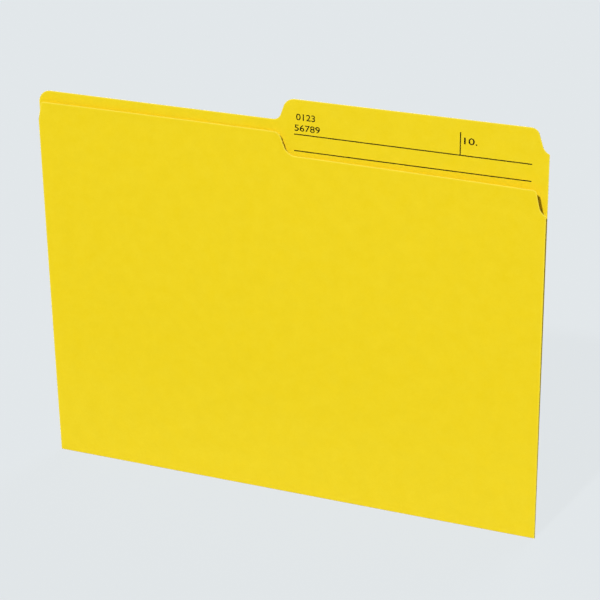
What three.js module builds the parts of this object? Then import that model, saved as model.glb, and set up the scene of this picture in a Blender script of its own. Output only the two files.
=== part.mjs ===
// A letter-size file folder with a half-cut tab: one sheet of coloured card that stands on its fold.
// Millimetres, +Z up. X runs along the fold, the front panel faces -Y and the back panel faces +Y.
// The tab stands on the +X half of the back panel. The origin is the middle of the fold's underside.
// Heights are measured up a closed panel from the fold's underside.
import * as THREE from "three";

const DEGREE = Math.PI / 180;
const QUARTER_TURN = Math.PI / 2;

// The sheet
const cardThickness = 0.28;
const folderWidth = 295.3;

// The back panel and its tab
const backHeight = 228.6;
const backCornerRadius = 7.5;
const tabRise = 12.7;
const tabStep = { crownRadius: 7.1, footRadius: 4.7, rampAngle: 70 * DEGREE };
const tabEnd = { crownRadius: 4.75, footRadius: 6.5, rampAngle: 73 * DEGREE };

// The front panel, cut lower so that the tab shows above it
const frontHeight = 222.25;
const frontDrop = 12.7;
const frontStep = { crownRadius: 4.7, footRadius: 7.1, rampAngle: 70 * DEGREE };
const frontEnd = { crownRadius: 2, footRadius: 6.5, rampAngle: 77 * DEGREE };
const frontTaperWidth = 2.3;
const frontTaperHeight = 10.6;
const frontCornerRadius = 1.6;

// Both panels step in the middle of the width. At the right end each falls by the same drop, and its curve
// meets the side edge before it is level, while it still falls at this angle.
const endDrop = 13.7;
const endSlope = 22.5 * DEGREE;

// The fold: a flat underside between two tight bends
const foldFlatWidth = 0.5;
const foldInnerRadius = 0.07;
const hingeClearance = 0.05;

// How far each panel stands open from upright
const restOpening = 0.6 * DEGREE;

const cardColour = 0xedd31f;
const cardRoughness = 0.85;
const arcSegments = 8;

// Each panel turns about the centre of its own bend, so it lies flat with its outer face level with the
// fold's underside. It starts where its lower inside edge clears the bend all the way round.
const foldOuterRadius = foldInnerRadius + cardThickness;
const hingeOffset = foldFlatWidth / 2;
const hingeHeight = foldOuterRadius;
const panelStart = Math.sqrt((foldOuterRadius + hingeClearance) ** 2 - foldInnerRadius ** 2);

const leftEdge = -folderWidth / 2;
const rightEdge = folderWidth / 2;
const panelFoot = hingeHeight + panelStart;
const tabHeight = backHeight + tabRise;
const frontLowHeight = frontHeight - frontDrop;

// A curve between two levels is a crown arc and a foot arc with a straight ramp between them.
// Where the rise is too small for the arcs, they shrink together until they just meet.
function arcsThatFit(curve, rise) {
  const arcRise = (curve.crownRadius + curve.footRadius) * (1 - Math.cos(curve.rampAngle));
  const share = Math.min(1, rise / arcRise);
  return { crown: curve.crownRadius * share, foot: curve.footRadius * share };
}

// How far from the ramp's middle, along X, an arc of this radius ends level
function reach(curve, radius, rise) {
  return radius * Math.tan(curve.rampAngle / 2) + rise / 2 / Math.tan(curve.rampAngle);
}

function stepUp(outline, low, high, curve) {
  const rise = high - low;
  const { crown, foot } = arcsThatFit(curve, rise);
  const start = -reach(curve, foot, rise);
  const end = reach(curve, crown, rise);
  outline.absarc(start, low + foot, foot, -QUARTER_TURN, curve.rampAngle - QUARTER_TURN, false);
  outline.absarc(end, high - crown, crown, QUARTER_TURN + curve.rampAngle, QUARTER_TURN, true);
}

function stepDown(outline, high, low, curve) {
  const rise = high - low;
  const { crown, foot } = arcsThatFit(curve, rise);
  const start = -reach(curve, crown, rise);
  const end = reach(curve, foot, rise);
  outline.absarc(start, high - crown, crown, QUARTER_TURN, QUARTER_TURN - curve.rampAngle, true);
  outline.absarc(end, low + foot, foot, -QUARTER_TURN - curve.rampAngle, -QUARTER_TURN, false);
}

// The curve from a panel's top edge down to its right edge, which cuts the foot arc short
function endCurve(outline, top, curve) {
  const { crown, foot } = arcsThatFit(curve, endDrop);
  const rise = endDrop + foot * (1 - Math.cos(endSlope));
  const footX = rightEdge + foot * Math.sin(endSlope);
  const crownX = footX - reach(curve, foot, rise) - reach(curve, crown, rise);
  outline.absarc(crownX, top - crown, crown, QUARTER_TURN, QUARTER_TURN - curve.rampAngle, true);
  outline.absarc(
    footX,
    top - rise + foot,
    foot,
    -QUARTER_TURN - curve.rampAngle,
    -QUARTER_TURN - endSlope,
    false,
  );
}

function backOutline() {
  const outline = new THREE.Shape();
  outline.moveTo(leftEdge, panelFoot);
  outline.absarc(
    leftEdge + backCornerRadius,
    backHeight - backCornerRadius,
    backCornerRadius,
    2 * QUARTER_TURN,
    QUARTER_TURN,
    true,
  );
  stepUp(outline, backHeight, tabHeight, tabStep);
  endCurve(outline, tabHeight, tabEnd);
  outline.lineTo(rightEdge, panelFoot);
  outline.closePath();
  return outline;
}

function frontOutline() {
  const taperAngle = Math.atan2(frontTaperHeight, frontTaperWidth);
  const cornerX = leftEdge + frontTaperWidth + frontCornerRadius * Math.tan(taperAngle / 2);
  const outline = new THREE.Shape();
  outline.moveTo(leftEdge, panelFoot);
  outline.lineTo(leftEdge, frontHeight - frontTaperHeight);
  outline.absarc(
    cornerX,
    frontHeight - frontCornerRadius,
    frontCornerRadius,
    QUARTER_TURN + taperAngle,
    QUARTER_TURN,
    true,
  );
  stepDown(outline, frontHeight, frontLowHeight, frontStep);
  endCurve(outline, frontLowHeight, frontEnd);
  outline.lineTo(rightEdge, panelFoot);
  outline.closePath();
  return outline;
}

// The fold's section, in Y and Z: the card's outer face, then its inner face on the way back
function foldSection() {
  const section = new THREE.Shape();
  section.moveTo(-hingeOffset - foldOuterRadius, hingeHeight);
  section.absarc(-hingeOffset, hingeHeight, foldOuterRadius, -2 * QUARTER_TURN, -QUARTER_TURN, false);
  section.absarc(hingeOffset, hingeHeight, foldOuterRadius, -QUARTER_TURN, 0, false);
  section.absarc(hingeOffset, hingeHeight, foldInnerRadius, 0, -QUARTER_TURN, true);
  section.absarc(-hingeOffset, hingeHeight, foldInnerRadius, -QUARTER_TURN, -2 * QUARTER_TURN, true);
  section.closePath();
  return section;
}

function cardMaterial() {
  return new THREE.MeshStandardMaterial({ color: cardColour, roughness: cardRoughness, metalness: 0 });
}

// The section's own x, y and depth become Y, Z and X
function makeFold() {
  const geometry = new THREE.ExtrudeGeometry(foldSection(), {
    depth: folderWidth,
    bevelEnabled: false,
    curveSegments: arcSegments,
  });
  const alongX = new THREE.Matrix4().makeBasis(
    new THREE.Vector3(0, 1, 0),
    new THREE.Vector3(0, 0, 1),
    new THREE.Vector3(1, 0, 0),
  );
  geometry.applyMatrix4(alongX);
  geometry.translate(leftEdge, 0, 0);
  const fold = new THREE.Mesh(geometry, cardMaterial());
  fold.name = "fold_strip";
  return fold;
}

// A panel is its outline cut from the card and stood upright in a group at its hinge line.
// The outer face looks to -Y on the front panel and to +Y on the back panel.
function makePanel(name, outline, side) {
  const geometry = new THREE.ExtrudeGeometry(outline, {
    depth: cardThickness,
    bevelEnabled: false,
    curveSegments: arcSegments,
  });
  geometry.translate(0, -hingeHeight, 0);
  geometry.rotateX(QUARTER_TURN);
  geometry.translate(0, side > 0 ? foldOuterRadius : -foldInnerRadius, 0);
  const panel = new THREE.Mesh(geometry, cardMaterial());
  panel.name = name;
  const hinge = new THREE.Group();
  hinge.add(panel);
  hinge.position.set(0, side * hingeOffset, hingeHeight);
  hinge.rotation.x = -side * restOpening;
  return hinge;
}

const folder = new THREE.Group();
folder.add(makeFold());
folder.add(makePanel("front_panel", frontOutline(), -1));
folder.add(makePanel("back_panel", backOutline(), 1));

export default folder;
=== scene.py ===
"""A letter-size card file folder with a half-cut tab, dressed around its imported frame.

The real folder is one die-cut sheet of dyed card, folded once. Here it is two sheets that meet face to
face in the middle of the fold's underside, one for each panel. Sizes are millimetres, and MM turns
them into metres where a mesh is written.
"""
import logging
import math
from dataclasses import dataclass
from enum import Enum
from typing import Any

import bpy
import numpy as np
from mathutils import Matrix, Vector


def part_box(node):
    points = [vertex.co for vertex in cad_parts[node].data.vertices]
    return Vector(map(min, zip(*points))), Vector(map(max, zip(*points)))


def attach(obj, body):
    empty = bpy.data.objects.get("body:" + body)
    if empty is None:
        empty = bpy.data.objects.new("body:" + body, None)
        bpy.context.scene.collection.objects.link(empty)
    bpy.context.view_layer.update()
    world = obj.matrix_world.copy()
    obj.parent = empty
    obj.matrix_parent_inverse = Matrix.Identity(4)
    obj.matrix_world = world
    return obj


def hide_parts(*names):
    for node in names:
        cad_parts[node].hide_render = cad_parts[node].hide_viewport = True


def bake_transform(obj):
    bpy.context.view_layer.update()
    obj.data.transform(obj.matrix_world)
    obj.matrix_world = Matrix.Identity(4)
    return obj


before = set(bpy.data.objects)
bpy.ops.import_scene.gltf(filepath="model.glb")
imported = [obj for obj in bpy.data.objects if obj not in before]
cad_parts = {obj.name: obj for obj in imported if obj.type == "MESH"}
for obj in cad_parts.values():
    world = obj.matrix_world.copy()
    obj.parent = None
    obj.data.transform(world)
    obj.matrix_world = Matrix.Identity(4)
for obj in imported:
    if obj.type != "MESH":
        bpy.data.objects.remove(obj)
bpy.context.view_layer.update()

MM = 0.001
CARD_UV = "card_plan"
CUT_ATTRIBUTE = "cut_distance"
IMAGE_PIXELS = 600

log = logging.getLogger("file_folder")


class Side(Enum):
    """The two panels, by the direction of Y that their outer faces look in."""

    FRONT = -1
    BACK = 1


def linear(hex_colour: str) -> tuple[float, float, float, float]:
    """Turns an sRGB hex colour into the linear colour that a shader takes.

    Args:
        hex_colour: six hex digits after a #.
    Returns:
        Linear red, green, blue, and an alpha of 1.
    """
    srgb = np.array([int(hex_colour[i:i + 2], 16) for i in (1, 3, 5)]) / 255
    low, high = srgb / 12.92, ((srgb + 0.055) / 1.055) ** 2.4
    red, green, blue = np.where(srgb <= 0.04045, low, high)
    return float(red), float(green), float(blue), 1.0


def add_node(
    tree: bpy.types.NodeTree,
    kind: str,
    inputs: dict[Any, Any] | None = None,
    **settings: Any,
) -> bpy.types.Node:
    """Adds one shader node, sets it and links it.

    Args:
        tree: the node tree.
        kind: the node's class name.
        inputs: what each input takes, by name or number: a socket is linked, anything else is its value.
        settings: the node's own settings, by name.
    Returns:
        The node.
    """
    node = tree.nodes.new(kind)
    for name, value in settings.items():
        setattr(node, name, value)
    for key, value in (inputs or {}).items():
        if isinstance(value, bpy.types.NodeSocket):
            tree.links.new(value, node.inputs[key])
        else:
            node.inputs[key].default_value = value
    return node


def empty_material(name: str) -> tuple[bpy.types.Material, bpy.types.NodeTree]:
    """Makes a material with no nodes.

    Args:
        name: the material's name.
    Returns:
        The material and its node tree.
    """
    material = bpy.data.materials.new(name)
    material.use_nodes = True
    material.node_tree.nodes.clear()
    return material, material.node_tree


# Nearly all values of a noise pattern lie between these two.
NOISE_LOW = 0.3
NOISE_HIGH = 0.7


@dataclass(frozen=True)
class Pattern:
    """A noise pattern: its patches' size in millimetres, its finer layers, their strength and its warp."""

    size: float
    layers: float
    strength: float
    warp: float = 0.0

    def inputs(self, place: bpy.types.NodeSocket) -> dict[str, Any]:
        """What a noise node takes for this pattern.

        Args:
            place: the place on the material, in millimetres.
        Returns:
            The value or link of each input, by its name.
        """
        return {
            "Vector": place,
            "Scale": 1 / self.size,
            "Detail": self.layers,
            "Roughness": self.strength,
            "Distortion": self.warp,
        }


@dataclass(frozen=True)
class DyedCard:
    """Tag board dyed yellow in the pulp, calendered and uncoated, so it is matte with a faint fibre cloud.

    The dye goes right through, so the die-cut edges are yellow too. A band along every cut is painted
    paler, and the cut's own rim near white: a painted highlight of the light that the cut edges catch. The
    card is also painted a little paler towards the fold: painted bounce light from the floor.
    """

    colour: str = "#EED118"
    pale_colour: str = "#F8E23C"
    rim_highlight_colour: str = "#FFEE88"
    cloud: Pattern = Pattern(size=9.0, layers=3.0, strength=0.55)
    cloud_depth: float = 0.012
    fibre: Pattern = Pattern(size=1.0, layers=2.0, strength=0.6, warp=0.4)
    fibre_length: float = 1.6
    fibre_width: float = 0.35
    fibre_depth: float = 0.012
    mottle: Pattern = Pattern(size=10.0, layers=6.0, strength=0.9)
    mottle_share: float = 0.3
    fleck: Pattern = Pattern(size=0.7, layers=1.0, strength=0.5)
    fleck_low: float = 0.66
    fleck_high: float = 0.8
    fleck_share: float = 0.25
    # Painted bounce light from the floor: the card paler towards the fold.
    bounce_light_height: float = 95.0
    bounce_light_share: float = 0.16
    tooth: Pattern = Pattern(size=0.45, layers=2.0, strength=0.6)
    tooth_height: float = 0.012
    # Painted highlight along the cut edges: a paler band, and a near-white rim on the cut itself.
    cut_highlight_band: float = 1.3
    cut_highlight_share: float = 0.9
    ragged_share: float = 0.7
    rim_highlight_band: float = 0.3
    rim_share: float = 0.28
    roughness: float = 0.82
    roughness_change: float = 0.05
    specular: float = 0.05

    def build(self) -> bpy.types.Material:
        """Makes the material. Its patterns lie on the sheet's own plan, so they bend with it.

        Returns:
            The material.
        """
        material, tree = empty_material("dyed_tag_board")
        plan = add_node(tree, "ShaderNodeUVMap", uv_map=CARD_UV).outputs[0]
        place = add_node(tree, "ShaderNodeMapping", {"Vector": plan, "Scale": [PLAN_SIDE] * 3}).outputs[0]
        stretch = (1 / self.fibre_length, 1 / self.fibre_width, 1.0)
        grain = add_node(tree, "ShaderNodeMapping", {"Vector": place, "Scale": stretch}).outputs[0]
        fibre = add_node(tree, "ShaderNodeTexNoise", self.fibre.inputs(grain)).outputs[0]
        dye_and_painted_light = self.dye_and_painted_light(tree, place, fibre)
        shader = add_node(
            tree,
            "ShaderNodeBsdfPrincipled",
            {
                "Base Color": self.shade(tree, dye_and_painted_light, place, fibre),
                "Roughness": add_node(
                    tree,
                    "ShaderNodeMapRange",
                    {
                        "Value": fibre,
                        "From Min": NOISE_LOW,
                        "From Max": NOISE_HIGH,
                        "To Min": self.roughness - self.roughness_change,
                        "To Max": self.roughness + self.roughness_change,
                    },
                ).outputs[0],
                "Normal": self.relief(tree, place),
                "Specular IOR Level": self.specular,
            },
        )
        add_node(tree, "ShaderNodeOutputMaterial", {"Surface": shader.outputs[0]})
        return material

    def paler_dye_and_bounce_share(
        self,
        tree: bpy.types.NodeTree,
        place: bpy.types.NodeSocket,
        ragged: bpy.types.NodeSocket,
    ) -> bpy.types.NodeSocket:
        """The share of the paler colour away from the cuts: flecks and a mottle of paler dye, and painted
        bounce light from the floor on the card's foot by the fold.

        Args:
            tree: the material's node tree.
            place: the place on the sheet, in millimetres: across it, and up from the fold.
            ragged: a share that breaks up an even tone.
        Returns:
            The share.
        """
        specks = add_node(tree, "ShaderNodeTexNoise", self.fleck.inputs(place)).outputs[0]
        flecks = add_node(
            tree,
            "ShaderNodeMapRange",
            {
                "Value": specks,
                "From Min": self.fleck_low,
                "From Max": self.fleck_high,
                "To Max": self.fleck_share,
            },
        )
        patches = add_node(tree, "ShaderNodeTexNoise", self.mottle.inputs(place)).outputs[0]
        mottle = add_node(
            tree,
            "ShaderNodeMapRange",
            {"Value": patches, "From Min": NOISE_LOW, "From Max": NOISE_HIGH, "To Max": self.mottle_share},
        )
        # Painted bounce light from the floor, paler towards the fold.
        up = add_node(tree, "ShaderNodeSeparateXYZ", {0: place}).outputs[1]
        foot = add_node(
            tree,
            "ShaderNodeMapRange",
            {"Value": up, "From Max": self.bounce_light_height, "To Min": self.bounce_light_share, "To Max": 0.0},
            interpolation_type="SMOOTHSTEP",
        )
        spots = {0: flecks.outputs[0], 1: mottle.outputs[0]}
        uneven = add_node(tree, "ShaderNodeMath", spots, operation="ADD")
        painted_bounce = add_node(tree, "ShaderNodeMath", {0: foot.outputs[0], 1: ragged}, operation="MULTIPLY")
        parts = {0: uneven.outputs[0], 1: painted_bounce.outputs[0]}
        return add_node(tree, "ShaderNodeMath", parts, operation="ADD").outputs[0]

    def dye_and_painted_light(
        self,
        tree: bpy.types.NodeTree,
        place: bpy.types.NodeSocket,
        fibre: bpy.types.NodeSocket,
    ) -> bpy.types.NodeSocket:
        """The card's colour: the dye, paler in places, with a painted highlight towards a cut that is
        brightest on the cut's own rim, and painted bounce light by the fold.

        Args:
            tree: the material's node tree.
            place: the place on the sheet, in millimetres.
            fibre: the fibre pattern.
        Returns:
            The colour.
        """
        ragged = add_node(
            tree,
            "ShaderNodeMapRange",
            {"Value": fibre, "From Min": NOISE_LOW, "From Max": NOISE_HIGH, "To Min": self.ragged_share},
        ).outputs[0]
        # Painted highlight along the cuts, broken up by the fibres.
        distance = add_node(tree, "ShaderNodeAttribute", attribute_name=CUT_ATTRIBUTE).outputs["Fac"]
        cut_highlight_mask = add_node(
            tree,
            "ShaderNodeMapRange",
            {"Value": distance, "From Max": self.cut_highlight_band, "To Min": self.cut_highlight_share, "To Max": 0.0},
            interpolation_type="SMOOTHSTEP",
        )
        cut = add_node(tree, "ShaderNodeMath", {0: cut_highlight_mask.outputs[0], 1: ragged}, operation="MULTIPLY")
        paler = add_node(
            tree,
            "ShaderNodeMath",
            {0: cut.outputs[0], 1: self.paler_dye_and_bounce_share(tree, place, ragged)},
            operation="MAXIMUM",
        )
        dye_and_painted_light = add_node(
            tree,
            "ShaderNodeMix",
            {0: paler.outputs[0], 6: linear(self.colour), 7: linear(self.pale_colour)},
            data_type="RGBA",
        )
        # Painted highlight, near white, on the cut's own rim.
        rim = add_node(
            tree,
            "ShaderNodeMapRange",
            {"Value": distance, "From Max": self.rim_highlight_band, "To Min": self.rim_share, "To Max": 0.0},
        )
        rim_highlighted = add_node(
            tree,
            "ShaderNodeMix",
            {0: rim.outputs[0], 6: dye_and_painted_light.outputs[2], 7: linear(self.rim_highlight_colour)},
            data_type="RGBA",
        )
        return rim_highlighted.outputs[2]

    def shade(
        self,
        tree: bpy.types.NodeTree,
        colour: bpy.types.NodeSocket,
        place: bpy.types.NodeSocket,
        fibre: bpy.types.NodeSocket,
    ) -> bpy.types.NodeSocket:
        """Makes a colour a little lighter and darker by the pulp's cloud and by the fibres.

        Args:
            tree: the material's node tree.
            colour: the colour.
            place: the place on the sheet, in millimetres.
            fibre: the fibre pattern.
        Returns:
            The shaded colour.
        """
        cloud = add_node(tree, "ShaderNodeTexNoise", self.cloud.inputs(place)).outputs[0]
        tones = []
        for pattern, depth in ((cloud, self.cloud_depth), (fibre, self.fibre_depth)):
            tone = add_node(
                tree,
                "ShaderNodeMapRange",
                {
                    "Value": pattern,
                    "From Min": NOISE_LOW,
                    "From Max": NOISE_HIGH,
                    "To Min": 1 - depth,
                    "To Max": 1 + depth,
                },
            )
            tones.append(tone.outputs[0])
        value = add_node(tree, "ShaderNodeMath", dict(enumerate(tones)), operation="MULTIPLY").outputs[0]
        return add_node(tree, "ShaderNodeHueSaturation", {"Color": colour, "Value": value}).outputs[0]

    def relief(self, tree: bpy.types.NodeTree, place: bpy.types.NodeSocket) -> bpy.types.NodeSocket:
        """The tooth that the paper machine's felt leaves, as a bump.

        Args:
            tree: the material's node tree.
            place: the place on the sheet, in millimetres.
        Returns:
            The normal.
        """
        tooth = add_node(tree, "ShaderNodeTexNoise", self.tooth.inputs(place)).outputs[0]
        height = {"Height": tooth, "Distance": self.tooth_height * MM, "Strength": 1.0}
        return add_node(tree, "ShaderNodeBump", height).outputs[0]


@dataclass(frozen=True)
class PrintingInk:
    """Offset printing ink, black over yellow card: it sinks in and dries matte and a little uneven."""

    colour: str = "#0D0800"
    thin_colour: str = "#241A03"
    patches: Pattern = Pattern(size=0.5, layers=2.0, strength=0.5)
    thin_low: float = 0.45
    thin_high: float = 0.75
    thin_share: float = 0.6
    roughness: float = 0.7
    specular: float = 0.1

    def build(self) -> bpy.types.Material:
        """Makes the material. Its pattern lies on the object's own coordinates.

        Returns:
            The material.
        """
        material, tree = empty_material("black_offset_ink")
        metres = add_node(tree, "ShaderNodeTexCoord").outputs["Object"]
        place = add_node(tree, "ShaderNodeMapping", {"Vector": metres, "Scale": [1 / MM] * 3}).outputs[0]
        patches = add_node(tree, "ShaderNodeTexNoise", self.patches.inputs(place)).outputs[0]
        thin = add_node(
            tree,
            "ShaderNodeMapRange",
            {
                "Value": patches,
                "From Min": self.thin_low,
                "From Max": self.thin_high,
                "To Max": self.thin_share,
            },
        )
        ink = add_node(
            tree,
            "ShaderNodeMix",
            {0: thin.outputs[0], 6: linear(self.colour), 7: linear(self.thin_colour)},
            data_type="RGBA",
        )
        shader = add_node(
            tree,
            "ShaderNodeBsdfPrincipled",
            {
                "Base Color": ink.outputs[2],
                "Roughness": self.roughness,
                "Specular IOR Level": self.specular,
            },
        )
        add_node(tree, "ShaderNodeOutputMaterial", {"Surface": shader.outputs[0]})
        return material


def background_rays(tree: bpy.types.NodeTree) -> bpy.types.NodeSocket:
    """Tells the rays that see the plain background, from camera, gloss or clear body, from all others.

    Args:
        tree: the node tree.
    Returns:
        1 for those rays and 0 for the others.
    """
    rays = add_node(tree, "ShaderNodeLightPath").outputs
    seen = rays["Is Camera Ray"]
    for name in ("Is Glossy Ray", "Is Transmission Ray"):
        seen = add_node(tree, "ShaderNodeMath", {0: seen, 1: rays[name]}, operation="MAXIMUM").outputs[0]
    return seen


@dataclass(frozen=True)
class StudioSweep:
    """Matte grey studio paper on which the folder stands, lit until it looks almost evenly pale.

    What the camera and gloss see of it is mostly one plain tone, and the rest is the paper's own shading,
    which keeps the folder's shadow. Everything else sees the paper alone.
    """

    colour: str = "#E2E7EA"
    paper_colour: str = "#9DA1A4"
    light_on_paper: float = 1.15
    roughness: float = 0.95
    plain_share: float = 0.9

    def build(self) -> bpy.types.Material:
        """Makes the material, with a plain tone that brings fully lit paper up to the colour.

        Returns:
            The material.
        """
        material, tree = empty_material("pale_studio_paper")
        paper = add_node(
            tree,
            "ShaderNodeBsdfPrincipled",
            {
                "Base Color": linear(self.paper_colour),
                "Roughness": self.roughness,
                "Specular IOR Level": 0.0,
            },
        )
        shading = np.array(linear(self.paper_colour)) * self.light_on_paper * (1 - self.plain_share)
        tone = (np.array(linear(self.colour)) - shading) / self.plain_share
        plain = add_node(tree, "ShaderNodeEmission", {"Color": tone.tolist(), "Strength": 1.0})
        seen = add_node(
            tree,
            "ShaderNodeMath",
            {0: background_rays(tree), 1: self.plain_share},
            operation="MULTIPLY",
        )
        both = add_node(
            tree,
            "ShaderNodeMixShader",
            {0: seen.outputs[0], 1: paper.outputs[0], 2: plain.outputs[0]},
        )
        add_node(tree, "ShaderNodeOutputMaterial", {"Surface": both.outputs[0]})
        return material


# The sheet's plan fits twice, side by side, in a square of this side: its outer face, then its inner face.
PLAN_SIDE = 600.0


@dataclass(frozen=True)
class Curve:
    """An S curve in a cut edge: a crown arc above, a foot arc below, and a straight ramp between them."""

    crown: float
    foot: float
    ramp: float

    def reach(self, radius: float, rise: float) -> float:
        """How far from the ramp's middle, along X, an arc ends level.

        Args:
            radius: the arc's radius.
            rise: the height between the two levels.
        Returns:
            radius times the tangent of half the ramp angle, plus half the rise over the ramp's tangent.
        """
        ramp = math.radians(self.ramp)
        return radius * math.tan(ramp / 2) + rise / 2 / math.tan(ramp)


class CutEdge:
    """The die-cut top edge of a panel, drawn from left to right as points of X and height."""

    arc_points = 28

    def __init__(self) -> None:
        """Starts with no points."""
        self.stretches: list[np.ndarray] = []

    def point(self, x: float, height: float) -> None:
        """Adds one corner."""
        self.stretches.append(np.array([[x, height]]))

    def arc(self, x: float, height: float, radius: float, start: float, end: float) -> None:
        """Adds an arc: centre plus radius times the cosine and sine of an angle from start to end.

        Args:
            x: the centre's X.
            height: the centre's height.
            radius: the arc's radius.
            start: the first angle, in degrees from +X.
            end: the last angle.
        """
        angle = np.radians(np.linspace(start, end, self.arc_points))
        points = [x + radius * np.cos(angle), height + radius * np.sin(angle)]
        self.stretches.append(np.stack(points, axis=1))

    def step(self, left: float, right: float, curve: Curve) -> None:
        """Adds an S step from one level to another, its ramp's middle at an X of 0.

        Args:
            left: the level before the step.
            right: the level after it.
            curve: the step's arcs and ramp.
        """
        low, high, rise = min(left, right), max(left, right), abs(right - left)
        foot_reach, crown_reach = curve.reach(curve.foot, rise), curve.reach(curve.crown, rise)
        if right > left:
            self.arc(-foot_reach, low + curve.foot, curve.foot, -90, curve.ramp - 90)
            self.arc(crown_reach, high - curve.crown, curve.crown, 90 + curve.ramp, 90)
        else:
            self.arc(-crown_reach, high - curve.crown, curve.crown, 90, 90 - curve.ramp)
            self.arc(foot_reach, low + curve.foot, curve.foot, -90 - curve.ramp, -90)

    def end(self, edge: float, top: float, drop: float, curve: Curve, slope: float) -> None:
        """Adds the curve from the top down to the right edge, which cuts its foot arc short.

        Args:
            edge: the right edge's X.
            top: the level before the curve.
            drop: how far down the right edge the curve ends.
            curve: its arcs and ramp.
            slope: the angle at which it still falls where it ends.
        """
        rise = drop + curve.foot * (1 - math.cos(math.radians(slope)))
        foot_x = edge + curve.foot * math.sin(math.radians(slope))
        crown_x = foot_x - curve.reach(curve.foot, rise) - curve.reach(curve.crown, rise)
        self.arc(crown_x, top - curve.crown, curve.crown, 90, 90 - curve.ramp)
        self.arc(foot_x, top - rise + curve.foot, curve.foot, -90 - curve.ramp, -90 - slope)

    def points(self) -> np.ndarray:
        """All points, one row of X and height each."""
        return np.concatenate(self.stretches)


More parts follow.
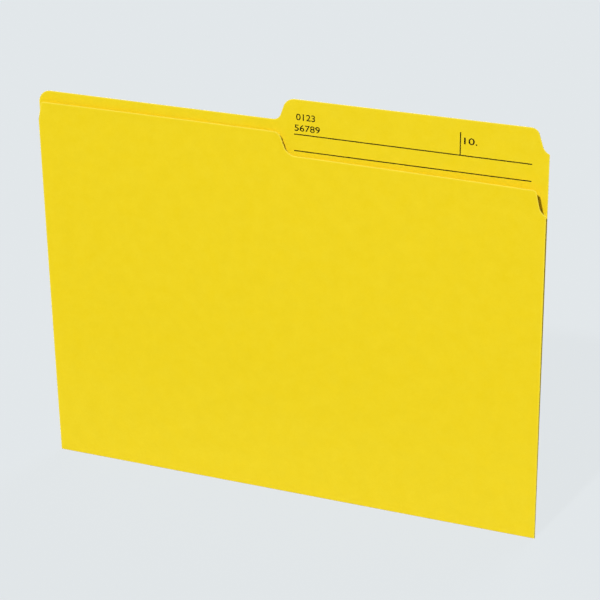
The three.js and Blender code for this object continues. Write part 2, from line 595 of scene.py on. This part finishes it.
@dataclass
class Panel:
    """One half of the sheet, from the middle of the fold up to its free edge."""

    side: Side
    edge: CutEdge
    width: float
    bow: tuple[float, float, float]
    skew: float
    thickness: float = 0.28
    inner_radius: float = 0.07
    hinge_offset: float = 0.25
    rest_opening: float = 0.6
    full_height: float = 240.0
    rim_radius: float = 0.06
    rim_share: float = 0.35
    bend_rows: int = 10
    side_steps: tuple[float, ...] = (0.0, 0.012, 0.03, 0.06, 0.2, 0.5, 0.9, 1.6, 3.0)
    foot_steps: tuple[float, ...] = (0.1, 0.2, 0.32, 0.45, 0.6, 0.8, 1.1, 1.6, 2.4, 4.0)
    cut_reach: float = 6.0
    column_gap: float = 5.0
    long_rows: int = 40

    def __post_init__(self) -> None:
        """Works out the bend's middle radius and the height of its hinge line."""
        self.middle_radius = self.inner_radius + self.thickness / 2
        self.hinge_height = self.inner_radius + self.thickness

    def bow_at(self, x: np.ndarray, up: np.ndarray) -> np.ndarray:
        """How far the panel bows out of its plane, inwards where it is less than 0.

        The bow at the free edge is a level part, plus a part that grows with X and a part that grows with
        its square. It fades towards the fold with the height to the power of 1.5. Both panels' bows are
        nowhere more than 0, so that a panel that is laid open lies on the floor and not in it.

        Args:
            x: X of each point.
            up: height of each point above the hinge line.
        Returns:
            The bow of each point.
        """
        level, twist, curl = self.bow
        across = x / (self.width / 2)
        rise = np.clip(up / self.full_height, 0, None)
        return (level + twist * across + curl * across ** 2) * rise ** 1.5

    def place(self, x: np.ndarray, up: np.ndarray, out: np.ndarray) -> np.ndarray:
        """Puts points of the panel where they are at rest.

        The fold is a little askew on the sheet, so the panel's upper edge lies further along and, at one
        end, higher. Then the panel stands upright on its hinge line, bows, and leans outwards by the
        opening: out and up turn into out cos a + up sin a and up cos a - out sin a.

        Args:
            x: X of each point.
            up: height above the hinge line, along the panel.
            out: distance outwards from the hinge line, across the panel.
        Returns:
            The points, in millimetres, in the frame, with the coordinates last.
        """
        lean = math.radians(self.rest_opening)
        askew = self.side.value * math.radians(self.skew)
        out = out + self.bow_at(x, up)
        x, up = x + askew * up, up * (1 - askew * x / self.full_height)
        y = self.hinge_offset + out * math.cos(lean) + up * math.sin(lean)
        z = self.hinge_height + up * math.cos(lean) - out * math.sin(lean)
        return np.stack(np.broadcast_arrays(x, self.side.value * y, z), axis=-1)

    def columns(self) -> np.ndarray:
        """The X of each column: the cut edge's own points, an even spread, and both side rims."""
        half = self.width / 2
        steps = np.array(self.side_steps)
        spread = np.linspace(-half, half, int(self.width / self.column_gap) + 1)
        every = np.concatenate([self.edge.points()[:, 0], spread, -half + steps, half - steps])
        every = np.unique(np.round(np.clip(every, -half, half), 4))
        keep = np.concatenate([[True], np.diff(every) > 0.008])
        keep[-1] = True
        return every[keep]

    def rows(self, top: np.ndarray) -> np.ndarray:
        """The heights of the panel's rows above the hinge line, one column for each column of the grid.

        Args:
            top: the height of the cut edge above the hinge line in each column.
        Returns:
            Heights: first the foot's, close together, then even ones, then the rim's, down from the top.
        """
        foot = np.array(self.foot_steps)[:, None] + 0 * top
        rim = top - np.array(self.side_steps[::-1])[:, None]
        share = np.linspace(0, 1, self.long_rows + 2)[1:-1, None]
        middle = foot[-1] + (rim[0] - foot[-1]) * share
        return np.concatenate([foot, middle, rim])

    def distance_to_cut(self, x: np.ndarray, up: np.ndarray) -> np.ndarray:
        """The distance from each point to the nearest cut edge.

        A point's distance to one straight stretch is its distance to the nearest point of it, found by
        dropping a perpendicular and keeping its foot between the stretch's ends. Points further below the
        cut than the cut's reach keep their distance to the side edges.

        Args:
            x: X of each point.
            up: height of each point above the hinge line.
        Returns:
            The least distance over all stretches and both side edges.
        """
        half = self.width / 2
        nearest = half - np.abs(x)
        line = self.edge.points() - [0, self.hinge_height]
        high = up > line[:, 1].min() - self.cut_reach
        starts, spans = line[:-1], np.diff(line, axis=0)
        points = np.stack([x[high], up[high]], axis=-1)[:, None]
        lengths = np.maximum((spans ** 2).sum(-1), 1e-12)
        share = np.clip(((points - starts) * spans).sum(-1) / lengths, 0, 1)
        gaps = np.linalg.norm(starts + share[..., None] * spans - points, axis=-1).min(-1)
        nearest[high] = np.minimum(nearest[high], gaps)
        return np.maximum(nearest, 0)

    def surface(self, columns: np.ndarray, up: np.ndarray, radius: np.ndarray) -> np.ndarray:
        """One face of the sheet: the fold's flat half, its bend and the panel.

        The flat runs out level to the hinge line, the bend is a circle round that line, and the panel goes
        on from it at the same radius.

        Args:
            columns: X of each column.
            up: the panel rows' heights above the hinge line.
            radius: how far the face lies from the hinge line, for every row and column.
        Returns:
            Points in millimetres, by row and column.
        """
        flat_rows = len(self.flat_shares())
        bend_end = flat_rows + self.bend_rows
        flat_out = self.hinge_offset * self.flat_shares()[:, None] + 0 * columns
        flat_up = self.hinge_height - radius[:flat_rows]
        flat = np.stack(np.broadcast_arrays(columns, self.side.value * flat_out, flat_up), axis=-1)
        turn = np.radians(90 - self.rest_opening) * np.linspace(0, 1, self.bend_rows + 1)[1:, None]
        bent = radius[flat_rows:bend_end]
        bend_out = self.hinge_offset + bent * np.sin(turn)
        bend_up = self.hinge_height - bent * np.cos(turn)
        bend = np.stack(np.broadcast_arrays(columns, self.side.value * bend_out, bend_up), axis=-1)
        return np.concatenate([flat, bend, self.place(columns, up, radius[bend_end:])])

    @staticmethod
    def flat_shares() -> np.ndarray:
        """Where the fold's flat half has its rows, from its middle to the bend."""
        return np.array([0.0, 0.5, 1.0])

    def build(self, name: str, finish: bpy.types.Material) -> bpy.types.Object:
        """Makes the sheet as a closed solid: its outer and inner face, joined by a band round the cut edge.

        The half thickness falls off within the rim radius of a cut as a quarter circle does, which is the
        small rounding that the knife leaves.

        Args:
            name: the piece's name.
            finish: its material.
        Returns:
            The piece.
        """
        columns = self.columns()
        line = self.edge.points()
        top = np.interp(columns, line[:, 0], line[:, 1]) - self.hinge_height
        up = self.rows(top)
        below = len(self.flat_shares()) + self.bend_rows
        side_gap = np.broadcast_to(self.width / 2 - np.abs(columns), (below, len(columns)))
        grid_x = np.broadcast_to(columns, up.shape)
        distance = np.concatenate([side_gap, self.distance_to_cut(grid_x, up)])
        inward = np.clip(distance / self.rim_radius, 0, 1)
        round_off = self.rim_share + (1 - self.rim_share) * np.sqrt(1 - (1 - inward) ** 2)
        half = self.thickness / 2 * round_off
        outer = self.surface(columns, up, self.middle_radius + half)
        inner = self.surface(columns, up, self.middle_radius - half)
        bend_length = self.middle_radius * math.radians(90 - self.rest_opening)
        shares = np.linspace(0, 1, self.bend_rows + 1)[1:]
        flat_along = self.hinge_offset * self.flat_shares()
        bend_along = self.hinge_offset + bend_length * shares
        along = np.concatenate([flat_along, bend_along])
        along = np.concatenate([along[:, None] + 0 * columns, self.hinge_offset + bend_length + up])
        across = np.broadcast_to(columns + self.width / 2, along.shape)
        plan = np.stack([across, along], axis=-1) / PLAN_SIDE
        piece = closed_sheet(name, outer, inner, plan, distance, self.thickness, self.side is Side.BACK)
        piece.data.materials.append(finish)
        return piece


def closed_sheet(
    name: str,
    outer: np.ndarray,
    inner: np.ndarray,
    plan: np.ndarray,
    distance: np.ndarray,
    thickness: float,
    turned: bool,
) -> bpy.types.Object:
    """Joins two grids of points into one closed solid.

    Args:
        name: the piece's name.
        outer: points of the outer face in millimetres, by row and column.
        inner: the same for the inner face.
        plan: the outer face's places on the plan. The inner face's lie half a plan further along.
        distance: each point's distance to the cut, kept for the material.
        thickness: the sheet's thickness, which is the cut band's width on the plan.
        turned: true if rows times columns winds the outer face the wrong way round.
    Returns:
        The piece, its faces pointing out.
    """
    rows, cols = outer.shape[:2]
    index = np.arange(rows * cols).reshape(rows, cols)
    quads = np.stack([index[:-1, :-1], index[:-1, 1:], index[1:, 1:], index[1:, :-1]], axis=-1)
    quads = quads.reshape(-1, 4)
    loop = np.concatenate([index[0, :-1], index[:-1, -1], index[-1, :0:-1], index[:0:-1, 0]])
    after = np.roll(loop, -1)
    count = rows * cols
    band = np.stack([after, loop, loop + count, after + count], axis=-1)
    faces = np.concatenate([quads, quads[:, ::-1] + count, band])
    flat_plan = plan.reshape(-1, 2)
    inner_plan = flat_plan + [0.5, 0]
    corners = np.concatenate([flat_plan, inner_plan])
    band_start = np.stack([flat_plan[after], flat_plan[loop]], axis=1)
    band_plan = np.concatenate([band_start, band_start[:, ::-1] + [0, thickness / PLAN_SIDE]], axis=1)
    uv = np.concatenate([corners[faces[:len(faces) - len(band)]], band_plan])
    if turned:
        faces, uv = faces[:, ::-1], uv[:, ::-1]
    mesh = bpy.data.meshes.new(name)
    points = np.concatenate([outer.reshape(-1, 3), inner.reshape(-1, 3)]) * MM
    mesh.from_pydata(points.tolist(), [], faces.tolist())
    mesh.uv_layers.new(name=CARD_UV).data.foreach_set("uv", uv.reshape(-1).astype(np.float32))
    cut = mesh.attributes.new(CUT_ATTRIBUTE, "FLOAT", "POINT")
    cut.data.foreach_set("value", np.tile(distance.reshape(-1), 2).astype(np.float32))
    mesh.polygons.foreach_set("use_smooth", np.ones(len(faces), bool))
    ends = np.zeros(len(mesh.edges) * 2, np.int32)
    mesh.edges.foreach_get("vertices", ends)
    in_fold_middle = (np.abs(points[ends.reshape(-1, 2), 1]) < 1e-7).all(axis=1)
    sharp = mesh.attributes.new("sharp_edge", "BOOLEAN", "EDGE")
    sharp.data.foreach_set("value", in_fold_middle)
    mesh.update()
    piece = bpy.data.objects.new(name, mesh)
    bpy.context.scene.collection.objects.link(piece)
    return piece


@dataclass
class CardFolder:
    """The folder's card: the front panel, and the back panel with its tab, each with half of the fold."""

    back_height: float = 228.6
    back_corner: float = 7.5
    tab_rise: float = 12.7
    tab_step: Curve = Curve(crown=7.1, foot=4.7, ramp=70)
    tab_end: Curve = Curve(crown=4.75, foot=6.5, ramp=73)
    front_height: float = 222.25
    front_drop: float = 12.7
    front_step: Curve = Curve(crown=4.7, foot=7.1, ramp=70)
    front_end: Curve = Curve(crown=2, foot=6.5, ramp=77)
    taper_width: float = 2.3
    taper_height: float = 10.6
    front_corner: float = 1.6
    end_drop: float = 13.7
    end_slope: float = 22.5
    fold_skew: float = -0.1
    front_bow: tuple[float, float, float] = (-3.3, 0.95, 2.35)
    back_bow: tuple[float, float, float] = (-0.7, 0.2, 0.5)
    blend_out: float = 0.35
    blend_up: float = 1.6

    def __post_init__(self) -> None:
        """Takes the width from the frame and makes both panels."""
        low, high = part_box("back_panel")
        self.width = round((high.x - low.x) / MM, 4)
        self.front = Panel(Side.FRONT, self.front_edge(), self.width, self.front_bow, self.fold_skew)
        self.back = Panel(Side.BACK, self.back_edge(), self.width, self.back_bow, self.fold_skew)

    def back_edge(self) -> CutEdge:
        """The back panel's cut edge: a round corner, the step up to the tab, the tab and its end curve."""
        half, corner, edge = self.width / 2, self.back_corner, CutEdge()
        tab_height = self.back_height + self.tab_rise
        edge.arc(-half + corner, self.back_height - corner, corner, 180, 90)
        edge.step(self.back_height, tab_height, self.tab_step)
        edge.end(half, tab_height, self.end_drop, self.tab_end, self.end_slope)
        return edge

    def front_edge(self) -> CutEdge:
        """The front panel's cut edge: a tapered corner, the step down below the tab, and its end curve."""
        half, corner, edge = self.width / 2, self.front_corner, CutEdge()
        taper = math.degrees(math.atan2(self.taper_height, self.taper_width))
        corner_x = -half + self.taper_width + corner * math.tan(math.radians(taper / 2))
        low = self.front_height - self.front_drop
        edge.point(-half, self.front_height - self.taper_height)
        edge.arc(corner_x, self.front_height - corner, corner, 90 + taper, 90)
        edge.step(self.front_height, low, self.front_step)
        edge.end(half, low, self.end_drop, self.front_end, self.end_slope)
        return edge

    def build(self, finish: bpy.types.Material) -> list[bpy.types.Object]:
        """Makes both sheets, each with its half of the fold, and hides the frame's panel and fold strip
        that they stand in for.

        Args:
            finish: the card's material.
        Returns:
            The two pieces.
        """
        pieces = []
        for panel, name, body in ((self.front, "front_sheet", "front"), (self.back, "back_sheet", "back")):
            piece = panel.build(name, finish)
            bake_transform(piece)
            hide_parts(f"{body}_panel", "fold_strip")
            pieces.append(piece)
        return pieces


@dataclass
class TabPrint:
    """What is printed on the tab: two long rules, a short divider and plain numbers."""

    panel: Panel
    rule_width: float = 0.6
    rule_ends: tuple[float, float] = (6.4, 138.5)
    rule_heights: tuple[float, float] = (221.5, 212.05)
    divider_x: float = 99.7
    divider_heights: tuple[float, float] = (221.5, 234.3)
    digit_height: float = 3.7
    stroke_swell: float = 0.009
    askew: float = -0.12
    film: float = 0.02
    letter_depth: float = 0.5
    along: int = 60
    curve_steps: int = 6
    labels: tuple[tuple[str, float, float, float], ...] = (
        ("0123", 7.8, 229.6, 10.9),
        ("56789", 6.8, 223.4, 14.6),
        ("10.", 101.7, 227.9, 7.2),
    )

    def film_grid(
        self,
        start: tuple[float, float],
        end: tuple[float, float],
    ) -> tuple[np.ndarray, np.ndarray]:
        """A line of ink as a closed grid: a rectangle's section carried from start to end.

        Args:
            start: X and height of one end.
            end: X and height of the other.
        Returns:
            The points and the faces.
        """
        start_at, end_at = np.array(start), np.array(end)
        direction = (end_at - start_at) / np.linalg.norm(end_at - start_at)
        across = np.array([-direction[1], direction[0]]) * self.rule_width / 2
        share = np.linspace(0, 1, self.along)[:, None, None]
        corner = np.array([[-1, 1], [1, 1], [1, -1], [-1, -1]])
        flat = start_at + (end_at - start_at) * share + across * corner[:, :1]
        points = self.on_tab(flat[..., 0], flat[..., 1], corner[:, 1] * self.film / 2)
        index = np.arange(self.along * 4).reshape(self.along, 4)
        beside = np.roll(index, -1, axis=1)
        walls = np.stack([index[:-1], index[1:], beside[1:], beside[:-1]], axis=-1).reshape(-1, 4)
        faces = np.concatenate([walls, index[:1], index[-1:, ::-1]])
        return points.reshape(-1, 3), faces

    def on_tab(self, x: np.ndarray, height: np.ndarray, lift: np.ndarray) -> np.ndarray:
        """Puts points on the back panel's inner face, which is the one that the tab shows.

        The print is a little askew on the card: its lines turn about the rules' left end.

        Args:
            x: X of each point.
            height: height up the closed panel from the fold's underside.
            lift: how far above the card's face the point lies.
        Returns:
            The points, in millimetres.
        """
        turn = (x - self.rule_ends[0]) * math.tan(math.radians(self.askew))
        up = height + turn - self.panel.hinge_height
        return self.panel.place(x, up, self.panel.inner_radius - lift)

    def build_rules(self, finish: bpy.types.Material) -> bpy.types.Object:
        """Makes the two rules and the divider as one piece.

        Args:
            finish: the ink.
        Returns:
            The piece.
        """
        left, right = self.rule_ends
        lines = [((left, height), (right, height)) for height in self.rule_heights]
        low, high = self.divider_heights
        lines.append(((self.divider_x, low), (self.divider_x, high)))
        points, faces, count = [], [], 0
        for start, end in lines:
            line_points, line_faces = self.film_grid(start, end)
            points.append(line_points)
            faces.append(line_faces + count)
            count += len(line_points)
        mesh = bpy.data.meshes.new("tab_rules")
        mesh.from_pydata((np.concatenate(points) * MM).tolist(), [], np.concatenate(faces).tolist())
        return self.finish_piece(mesh, finish)

    def build_numbers(self, finish: bpy.types.Material) -> bpy.types.Object:
        """Makes the numbers from the plain built-in typeface, each label stretched to its width.

        Args:
            finish: the ink.
        Returns:
            The piece.
        """
        points, faces, count = [], [], 0
        for text, x, base, width in self.labels:
            letters = bpy.data.curves.new("number_outline", "FONT")
            letters.body = text
            letters.extrude = self.letter_depth
            letters.resolution_u = self.curve_steps
            letters.offset = self.stroke_swell
            holder = bpy.data.objects.new("number_outline", letters)
            bpy.context.scene.collection.objects.link(holder)
            drawn = bpy.data.meshes.new_from_object(holder)
            flat = np.zeros(len(drawn.vertices) * 3)
            drawn.vertices.foreach_get("co", flat)
            flat = flat.reshape(-1, 3)
            low, high = flat.min(axis=0), flat.max(axis=0)
            share = (flat - low) / (high - low)
            lift = (share[:, 2] - 0.5) * self.film
            placed = self.on_tab(x + share[:, 0] * width, base + share[:, 1] * self.digit_height, lift)
            points.append(placed)
            faces.extend([[v + count for v in face.vertices] for face in drawn.polygons])
            count += len(placed)
            bpy.data.objects.remove(holder)
            bpy.data.meshes.remove(drawn)
        mesh = bpy.data.meshes.new("tab_numbers")
        mesh.from_pydata((np.concatenate(points) * MM).tolist(), [], faces)
        return self.finish_piece(mesh, finish)

    @staticmethod
    def finish_piece(mesh: bpy.types.Mesh, finish: bpy.types.Material) -> bpy.types.Object:
        """Makes a mesh a piece of the back panel.

        Args:
            mesh: the ink's mesh, named as the piece.
            finish: its material.
        Returns:
            The piece.
        """
        mesh.materials.append(finish)
        piece = bpy.data.objects.new(mesh.name, mesh)
        bpy.context.scene.collection.objects.link(piece)
        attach(piece, "back")
        return piece


@dataclass(frozen=True)
class Studio:
    """The pale floor, the soft key light from the upper left front, and the even light of the room."""

    floor_half: float = 6.0
    floor_drop: float = 0.00005
    key_azimuth: float = -10.0
    key_elevation: float = 43.0
    key_strength: float = 3.22
    key_softness: float = 3.0
    fill_azimuth: float = 165.0
    fill_elevation: float = 38.0
    fill_strength: float = 1.7
    fill_softness: float = 30.0
    room_colour: str = "#FFFFFF"
    room_strength: float = 0.15

    def sun(self, name: str, azimuth: float, elevation: float, strength: float, softness: float) -> None:
        """Adds a sun.

        Args:
            name: its name.
            azimuth: where it stands, in degrees round from the front to the right.
            elevation: how high it stands, in degrees.
            strength: its strength.
            softness: how wide it looks, in degrees.
        """
        lamp = bpy.data.lights.new(name, "SUN")
        lamp.energy = strength
        lamp.angle = math.radians(softness)
        holder = bpy.data.objects.new(name, lamp)
        holder.rotation_euler = view_matrix(azimuth, elevation, 0.0).to_euler()
        bpy.context.scene.collection.objects.link(holder)

    def build(self, finish: bpy.types.Material) -> None:
        """Makes the floor, the lamps and the world.

        Args:
            finish: the floor's material.
        """
        half = self.floor_half
        mesh = bpy.data.meshes.new("studio_floor")
        corners = [(-half, -half), (half, -half), (half, half), (-half, half)]
        mesh.from_pydata([(x, y, -self.floor_drop) for x, y in corners], [], [(0, 1, 2, 3)])
        mesh.materials.append(finish)
        floor = bpy.data.objects.new("studio_floor", mesh)
        bpy.context.scene.collection.objects.link(floor)
        key = (self.key_azimuth, self.key_elevation, self.key_strength, self.key_softness)
        self.sun("key_light", *key)
        fill = (self.fill_azimuth, self.fill_elevation, self.fill_strength, self.fill_softness)
        self.sun("fill_light", *fill)
        world = bpy.data.worlds.new("studio_room")
        world.use_nodes = True
        tree = world.node_tree
        tree.nodes.clear()
        glow = {"Color": linear(self.room_colour), "Strength": self.room_strength}
        light = add_node(tree, "ShaderNodeBackground", glow)
        plain = {"Color": linear(StudioSweep.colour), "Strength": 1.0}
        backdrop = add_node(tree, "ShaderNodeBackground", plain)
        both = add_node(
            tree,
            "ShaderNodeMixShader",
            {0: background_rays(tree), 1: light.outputs[0], 2: backdrop.outputs[0]},
        )
        add_node(tree, "ShaderNodeOutputWorld", {"Surface": both.outputs[0]})
        bpy.context.scene.world = world


def view_matrix(azimuth: float, elevation: float, roll: float) -> Matrix:
    """The rotation of something that looks down at the object.

    Its own Z points back from the object: sin a cos e, -cos a cos e, sin e. Its X is level, and X and Y
    then turn about Z by the roll.

    Args:
        azimuth: degrees round from the front to the right.
        elevation: degrees above the horizon.
        roll: degrees by which X turns towards Y.
    Returns:
        The rotation matrix, 4 by 4.
    """
    a, e, r = (math.radians(v) for v in (azimuth, elevation, roll))
    back = Vector((math.sin(a) * math.cos(e), -math.cos(a) * math.cos(e), math.sin(e)))
    right = Vector((math.cos(a), math.sin(a), 0))
    up = back.cross(right)
    turned_right = right * math.cos(r) + up * math.sin(r)
    turned_up = up * math.cos(r) - right * math.sin(r)
    return Matrix((turned_right, turned_up, back)).transposed().to_4x4()


@dataclass(frozen=True)
class PhotoCamera:
    """The camera at the photograph's viewing angle, as fitted to the folder's edges."""

    focal_pixels: float = 2140.6
    azimuth: float = 22.12
    elevation: float = 25.27
    roll: float = -0.894
    distance: float = 1186.6
    target: tuple[float, float, float] = (8.85, 0.0, 124.37)
    sensor: float = 36.0

    def build(self) -> None:
        """Makes the camera and looks through it."""
        data = bpy.data.cameras.new("photo_camera")
        data.sensor_width = self.sensor
        data.lens = self.focal_pixels / IMAGE_PIXELS * self.sensor
        data.clip_start, data.clip_end = 0.05, 50.0
        camera = bpy.data.objects.new("photo_camera", data)
        turn = view_matrix(self.azimuth, self.elevation, self.roll)
        place = (Vector(self.target) + turn.col[2].xyz * self.distance) * MM
        camera.matrix_world = Matrix.Translation(place) @ turn
        bpy.context.scene.collection.objects.link(camera)
        bpy.context.scene.camera = camera


def main() -> None:
    """Builds the folder, the print on its tab, the studio and the camera."""
    logging.basicConfig(level=logging.INFO, format="%(message)s")
    bpy.context.scene.view_settings.view_transform = "Standard"
    card, ink = DyedCard().build(), PrintingInk().build()
    folder = CardFolder()
    pieces = folder.build(card)
    tab_print = TabPrint(folder.back)
    pieces += [tab_print.build_rules(ink), tab_print.build_numbers(ink)]
    for piece in pieces:
        log.info("%s: %d faces", piece.name, len(piece.data.polygons))
    Studio().build(StudioSweep().build())
    PhotoCamera().build()


if __name__ == "__main__":
    main()
